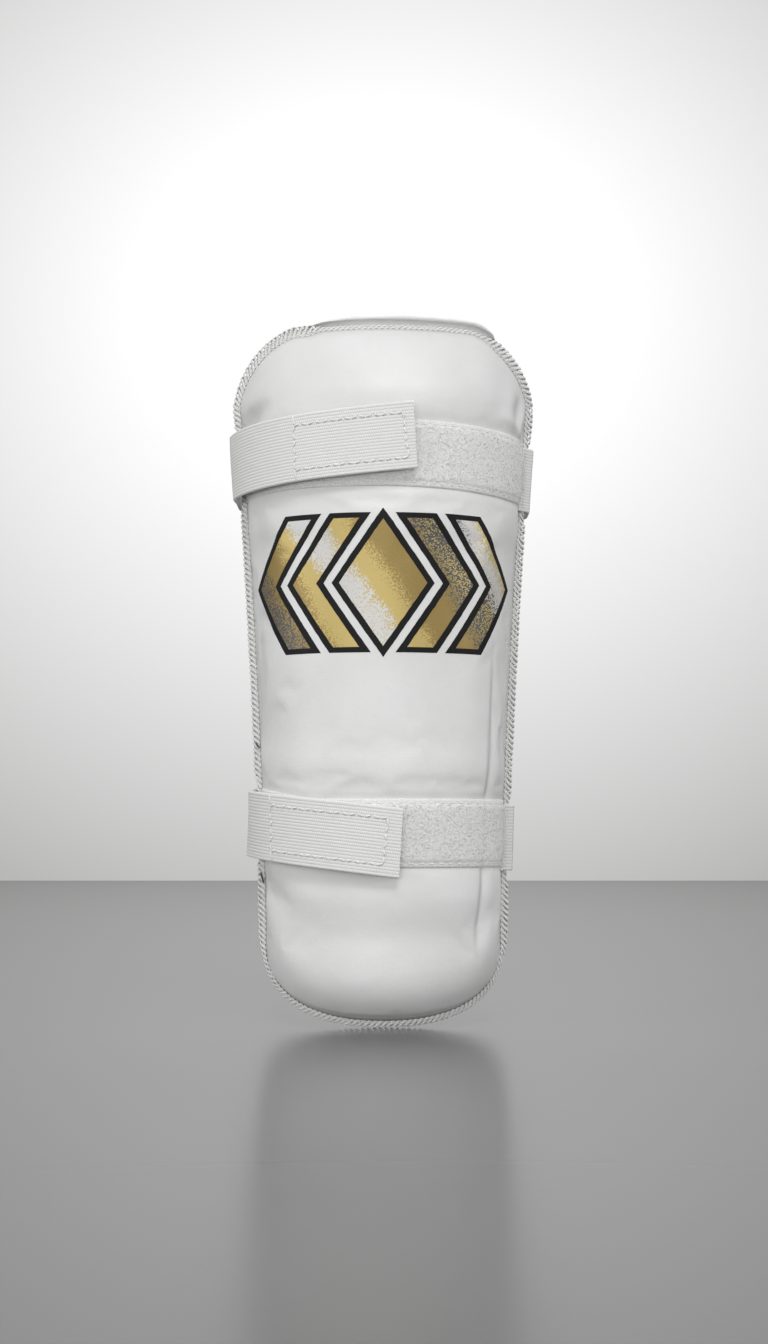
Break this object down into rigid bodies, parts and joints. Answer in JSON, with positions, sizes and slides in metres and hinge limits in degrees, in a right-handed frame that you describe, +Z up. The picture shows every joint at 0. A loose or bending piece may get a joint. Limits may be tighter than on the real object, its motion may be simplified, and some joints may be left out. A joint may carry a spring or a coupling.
{
  "type": "cricket forearm guard",
  "caption": "Padded gutter-shaped guard that shields the outer forearm, held on by elastic straps with hook-and-loop flaps.",
  "frame": {"origin": "on the arm side of the lining, at the middle of its centre line", "axes": "+Z up the forearm towards the elbow, +Y towards the arm, -Y out of the padded face"},
  "size_m": [0.1181, 0.0809, 0.2651],
  "materials": {
    "cover": "coated fabric face, soft sheen",
    "lining": "brushed knit",
    "soft_foam": "open-cell foam",
    "core_foam": "dense closed-cell foam",
    "plate": "moulded polyethylene",
    "loop": "napped loop pile",
    "hook": "moulded nylon hooks",
    "elastic": "ribbed woven elastic",
    "thread": "polyester thread",
    "black_film": "transfer film",
    "gold_film": "metallic transfer film"
  },
  "bodies": {
    "root": {"front_cover": "cover", "rear_lining": "lining", "top_rim_roll": "lining", "comfort_foam": "soft_foam", "foam_core": "core_foam", "impact_shell": "plate", "edge_overlock": "thread", "upper_loop_tape": "loop", "upper_tape_stitching": "thread", "upper_strap_anchor": "elastic", "upper_anchor_bartack": "thread", "lower_loop_tape": "loop", "lower_tape_stitching": "thread", "lower_strap_anchor": "elastic", "lower_anchor_bartack": "thread", "emblem_lozenge_outline": "black_film", "emblem_lozenge": "gold_film", "emblem_left_inner_chevron_outline": "black_film", "emblem_left_inner_chevron": "gold_film", "emblem_left_outer_chevron_outline": "black_film", "emblem_left_outer_chevron": "gold_film", "emblem_right_inner_chevron_outline": "black_film", "emblem_right_inner_chevron": "gold_film", "emblem_right_outer_chevron_outline": "black_film", "emblem_right_outer_chevron": "gold_film"},
    "upper_band": {"upper_strap_band": "elastic"},
    "upper_flap": {"upper_strap_flap": "elastic", "upper_hook_patch": "hook", "upper_flap_stitching": "thread"},
    "lower_band": {"lower_strap_band": "elastic"},
    "lower_flap": {"lower_strap_flap": "elastic", "lower_hook_patch": "hook", "lower_flap_stitching": "thread"}
  },
  "joints": [
    {"name": "upper_band_swing", "type": "hinge", "parent": "root", "child": "upper_band", "pos_m": [0.05779, 0.02992, 0.0749], "axis": [-0.0753, -0.0367, -0.9965], "range_deg": [0, 18]},
    {"name": "upper_flap_peel", "type": "hinge", "parent": "upper_band", "child": "upper_flap", "pos_m": [-0.05804, 0.03925, 0.0783], "axis": [0.076, -0.0371, -0.9964], "range_deg": [0, 150]},
    {"name": "lower_band_swing", "type": "hinge", "parent": "root", "child": "lower_band", "pos_m": [0.04967, 0.02596, -0.0629], "axis": [-0.038, -0.0185, -0.9991], "range_deg": [0, 18]},
    {"name": "lower_flap_peel", "type": "hinge", "parent": "lower_band", "child": "lower_flap", "pos_m": [-0.05121, 0.03378, -0.0568], "axis": [-0.0634, -0.0197, -0.9978], "range_deg": [0, 150]}
  ],
  "couplings": [
    {"joint": "upper_band_swing", "follows": "upper_flap_peel", "ratio": 0.12},
    {"joint": "lower_band_swing", "follows": "lower_flap_peel", "ratio": 0.12}
  ]
}
